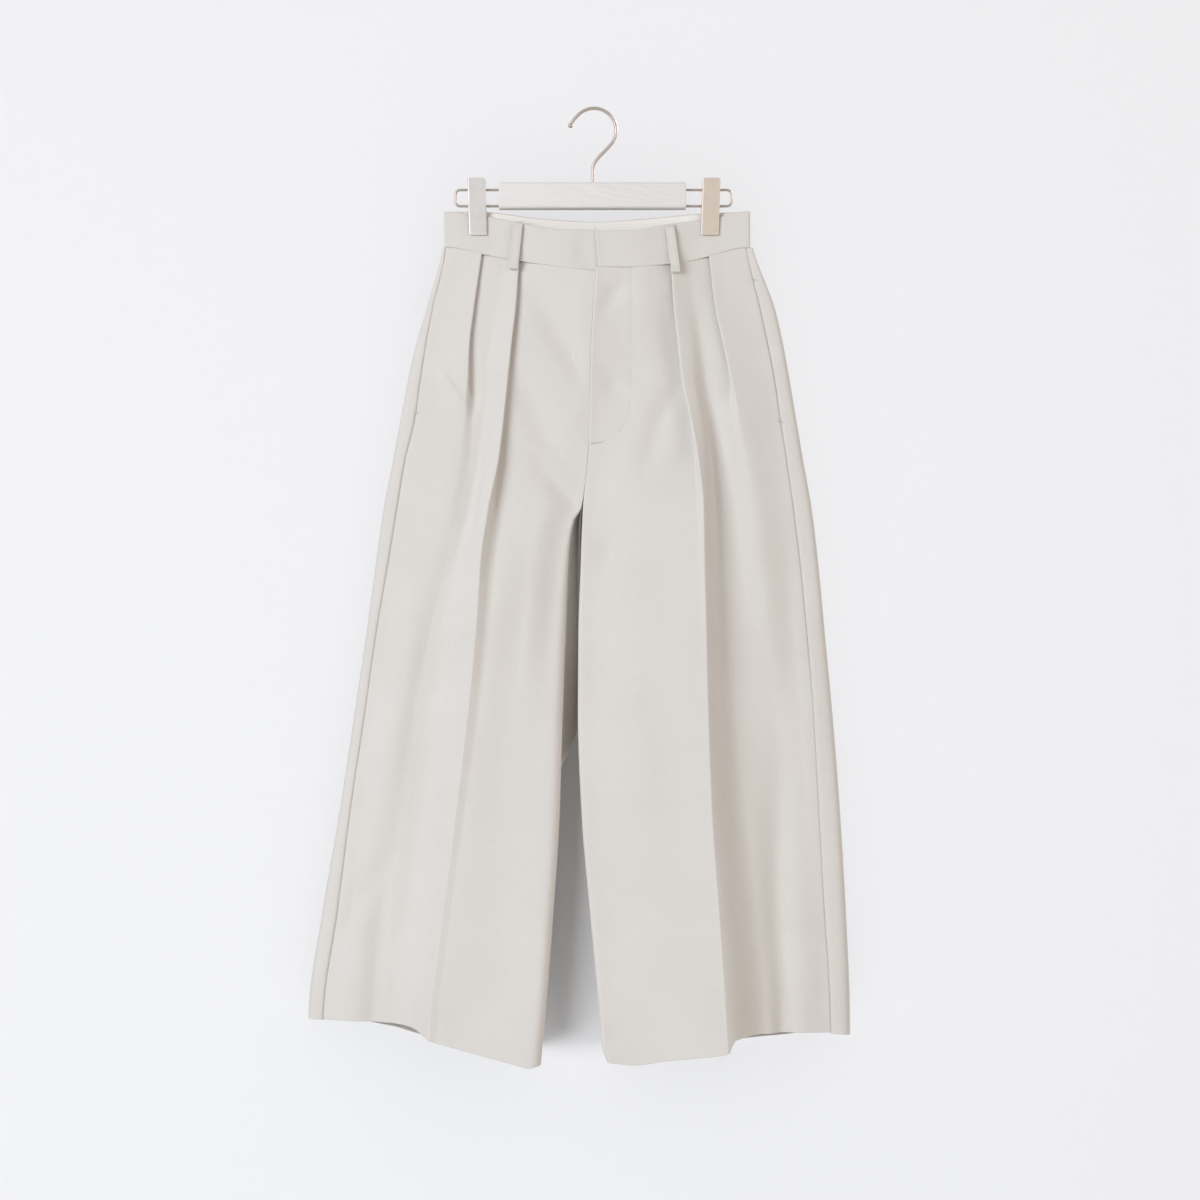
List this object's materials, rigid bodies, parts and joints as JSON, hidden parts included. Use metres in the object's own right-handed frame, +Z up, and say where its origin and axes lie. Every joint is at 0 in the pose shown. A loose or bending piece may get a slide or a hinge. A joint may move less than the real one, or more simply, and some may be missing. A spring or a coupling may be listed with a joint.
{
  "type": "culottes on a clip hanger",
  "caption": "Wide pleated culottes in pale twill, hung by the waistband from a bar hanger with a wire hook, a wooden bar and spring clips; the cloth hangs in soft folds.",
  "frame": {"origin": "inner top of the hook's bend, where the hanger rests on a rod", "axes": "+Z up, +X to the right of someone who looks at the front, the front faces -Y"},
  "size_m": [0.5433, 0.0954, 0.9491],
  "materials": {
    "cloth": "matt pale grey-beige twill",
    "facing": "matt cream cotton",
    "wood": "whitewashed, satin",
    "steel": "satin nickel wire",
    "clip_steel": "satin nickel sheet"
  },
  "bodies": {
    "root": {"front_left": "cloth", "front_right": "cloth", "back_left": "cloth", "back_right": "cloth", "waistband_front_left": "cloth", "waistband_front_right": "cloth", "waistband_back": "cloth", "fly_shield": "cloth", "belt_loop_front_left": "cloth", "belt_loop_front_right": "cloth", "belt_loop_back_left": "cloth", "belt_loop_back_centre": "cloth", "belt_loop_back_right": "cloth", "waistband_facing": "facing", "hanger_bar": "wood", "hanger_hook": "steel", "hanger_frame": "steel", "clip_left_front": "clip_steel", "clip_left_back": "clip_steel", "clip_right_front": "clip_steel", "clip_right_back": "clip_steel", "clip_left_spring": "steel", "clip_right_spring": "steel"}
  },
  "joints": []
}
